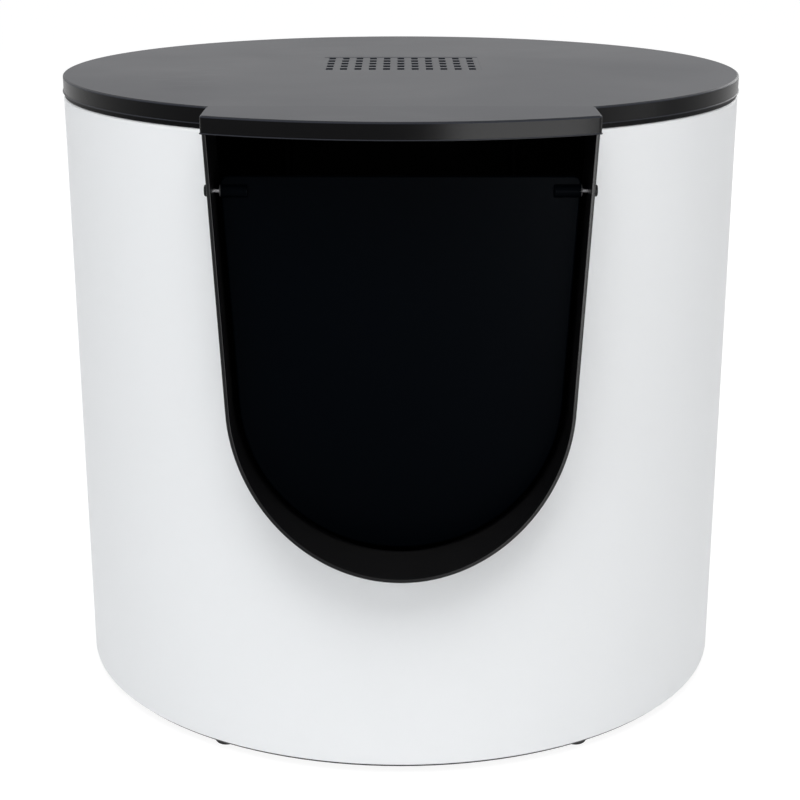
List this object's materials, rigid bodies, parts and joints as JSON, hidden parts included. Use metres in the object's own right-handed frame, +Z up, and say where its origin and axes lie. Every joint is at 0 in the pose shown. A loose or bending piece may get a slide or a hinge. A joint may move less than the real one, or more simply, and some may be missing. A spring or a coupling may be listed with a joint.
{
  "type": "litter box",
  "caption": "Round drum cat litter box with a projecting U-shaped front entry, a hinged swing flap, a lift-off lid with visor and vent, a sliding filter tray and a lift-out pan.",
  "frame": {"origin": "on the floor, in the middle of the box that holds the whole object with its visor", "axes": "+Z up, +Y from the entry to the back, +X to the right as seen from the front; X = 0 is the plane of symmetry"},
  "size_m": [0.5016, 0.5381, 0.4592],
  "materials": {
    "white_plastic": "satin white",
    "lid_plastic": "fine-textured satin black",
    "black_plastic": "satin black",
    "flap_plastic": "smooth black",
    "pan_plastic": "satin black",
    "foot_rubber": "matte",
    "pin_steel": "bright ground",
    "screw_steel": "zinc plated",
    "bush_nylon": "smooth",
    "carbon_felt": "fibrous"
  },
  "bodies": {
    "drum": {"outer_shell": "white_plastic", "base_plate": "black_plastic", "top_ring": "black_plastic", "entry_surround": "black_plastic", "foot_front_left": "foot_rubber", "foot_front_right": "foot_rubber", "foot_rear_left": "foot_rubber", "foot_rear_right": "foot_rubber", "foot_screws": "screw_steel", "base_screws": "screw_steel", "ring_screws": "screw_steel", "hinge_pin_left": "pin_steel", "hinge_pin_right": "pin_steel", "pin_cap_left": "black_plastic", "pin_cap_right": "black_plastic"},
    "flap": {"flap_panel": "flap_plastic", "flap_bush_left": "bush_nylon", "flap_bush_right": "bush_nylon"},
    "lid": {"lid": "lid_plastic", "filter_frame": "black_plastic", "filter_frame_screws": "screw_steel"},
    "cassette": {"filter_cassette": "black_plastic", "carbon_filter": "carbon_felt"},
    "pan": {"litter_pan": "pan_plastic"}
  },
  "joints": [
    {"name": "flap_swing", "type": "hinge", "parent": "drum", "child": "flap", "pos_m": [0, -0.2177, 0.409], "axis": [1, 0, 0], "range_deg": [-80, 80]},
    {"name": "lid_lift", "type": "slide", "parent": "drum", "child": "lid", "axis": [0, 0, 1], "range_m": [0, 0.66]},
    {"name": "filter_slide", "type": "slide", "parent": "lid", "child": "cassette", "axis": [0, 1, 0], "range_m": [0, 0.105]},
    {"name": "pan_lift", "type": "slide", "parent": "drum", "child": "pan", "axis": [0, 0, 1], "range_m": [0, 0.4401]}
  ],
  "couplings": [
    {"joint": "pan_lift", "follows": "lid_lift", "ratio": 0.6667}
  ]
}
